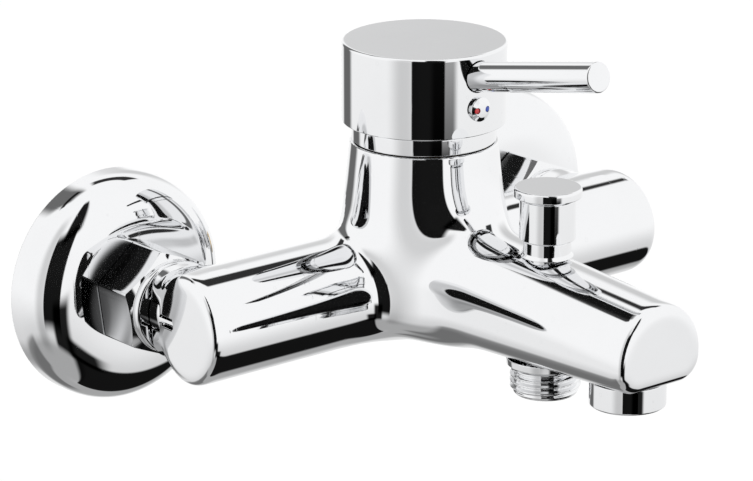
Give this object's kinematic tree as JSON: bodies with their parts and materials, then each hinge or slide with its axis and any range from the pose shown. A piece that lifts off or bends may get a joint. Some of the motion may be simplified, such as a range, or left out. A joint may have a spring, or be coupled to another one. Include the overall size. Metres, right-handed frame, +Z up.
{
  "type": "wall mounted bath faucet",
  "caption": "Chrome single-lever bath faucet on two wall connectors, with round covers, a pull-up diverter, a spout and a threaded shower outlet.",
  "frame": {"origin": "on the wall face, midway between the two supplies, at the height of the arms", "axes": "+Y into the wall, +Z up, +X along the wall to the right as seen from the room"},
  "size_m": [0.2202, 0.1802, 0.1179],
  "materials": {
    "chrome": "polished chrome plate on brass",
    "raw_brass": "machined",
    "rubber": "moulded",
    "grey_plastic": "moulded",
    "white_plastic": "moulded",
    "disc_ceramic": "lapped ceramic",
    "steel": "turned",
    "red_paint": "enamel",
    "blue_paint": "enamel"
  },
  "bodies": {
    "faucet": {"valve_body": "chrome", "collar_ring": "chrome", "diverter_bonnet": "chrome", "shower_outlet_nipple": "chrome", "aerator_housing": "chrome", "inlet_tail_left": "chrome", "inlet_tail_right": "chrome", "cartridge_retaining_nut": "raw_brass", "diverter_seat": "raw_brass", "eccentric_left": "raw_brass", "eccentric_right": "raw_brass", "cartridge_seal": "rubber", "bonnet_o_ring": "rubber", "aerator_washer": "rubber", "union_washer_left": "rubber", "union_washer_right": "rubber", "cartridge_housing": "grey_plastic", "shower_check_valve": "grey_plastic", "aerator_insert": "white_plastic", "inlet_strainer_left": "white_plastic", "inlet_strainer_right": "white_plastic", "ceramic_disc_fixed": "disc_ceramic"},
    "handle_turn": {"cartridge_turret": "white_plastic", "pivot_pin": "steel"},
    "lever": {"lever_cap": "chrome", "lever_rod": "chrome", "grub_screw": "steel", "badge_plug": "chrome", "badge_dot_red": "red_paint", "badge_dot_blue": "blue_paint", "cartridge_stem": "steel"},
    "mixing_disc": {"ceramic_disc_moving": "disc_ceramic"},
    "diverter": {"diverter_knob": "chrome", "diverter_stem": "raw_brass", "diverter_valve_washer": "rubber"},
    "nut_left": {"union_nut_left": "chrome"},
    "nut_right": {"union_nut_right": "chrome"},
    "bell_left": {"escutcheon_left": "chrome"},
    "bell_right": {"escutcheon_right": "chrome"}
  },
  "joints": [
    {"name": "lever_turn", "type": "hinge", "parent": "faucet", "child": "handle_turn", "pos_m": [0, -0.0599, 0.04], "axis": [0, 0, 1], "range_deg": [-45, 45]},
    {"name": "lever_lift", "type": "hinge", "parent": "handle_turn", "child": "lever", "pos_m": [0, -0.0599, 0.04], "axis": [-1, 0, 0], "range_deg": [0, 20]},
    {"name": "disc_slide", "type": "slide", "parent": "handle_turn", "child": "mixing_disc", "axis": [0, -1, 0], "range_m": [0, 0.0058]},
    {"name": "diverter_pull", "type": "slide", "parent": "faucet", "child": "diverter", "axis": [0, 0, 1], "range_m": [0, 0.008]},
    {"name": "nut_turn_left", "type": "hinge", "parent": "faucet", "child": "nut_left", "pos_m": [-0.075, -0.026, 0], "axis": [0, -1, 0], "continuous": true},
    {"name": "bell_turn_left", "type": "hinge", "parent": "faucet", "child": "bell_left", "pos_m": [-0.075, -0.01, 0], "axis": [0, -1, 0], "continuous": true},
    {"name": "nut_turn_right", "type": "hinge", "parent": "faucet", "child": "nut_right", "pos_m": [0.075, -0.026, 0], "axis": [0, -1, 0], "continuous": true},
    {"name": "bell_turn_right", "type": "hinge", "parent": "faucet", "child": "bell_right", "pos_m": [0.075, -0.01, 0], "axis": [0, -1, 0], "continuous": true}
  ],
  "couplings": [
    {"joint": "disc_slide", "follows": "lever_lift", "m_per_rad": 0.0166}
  ]
}
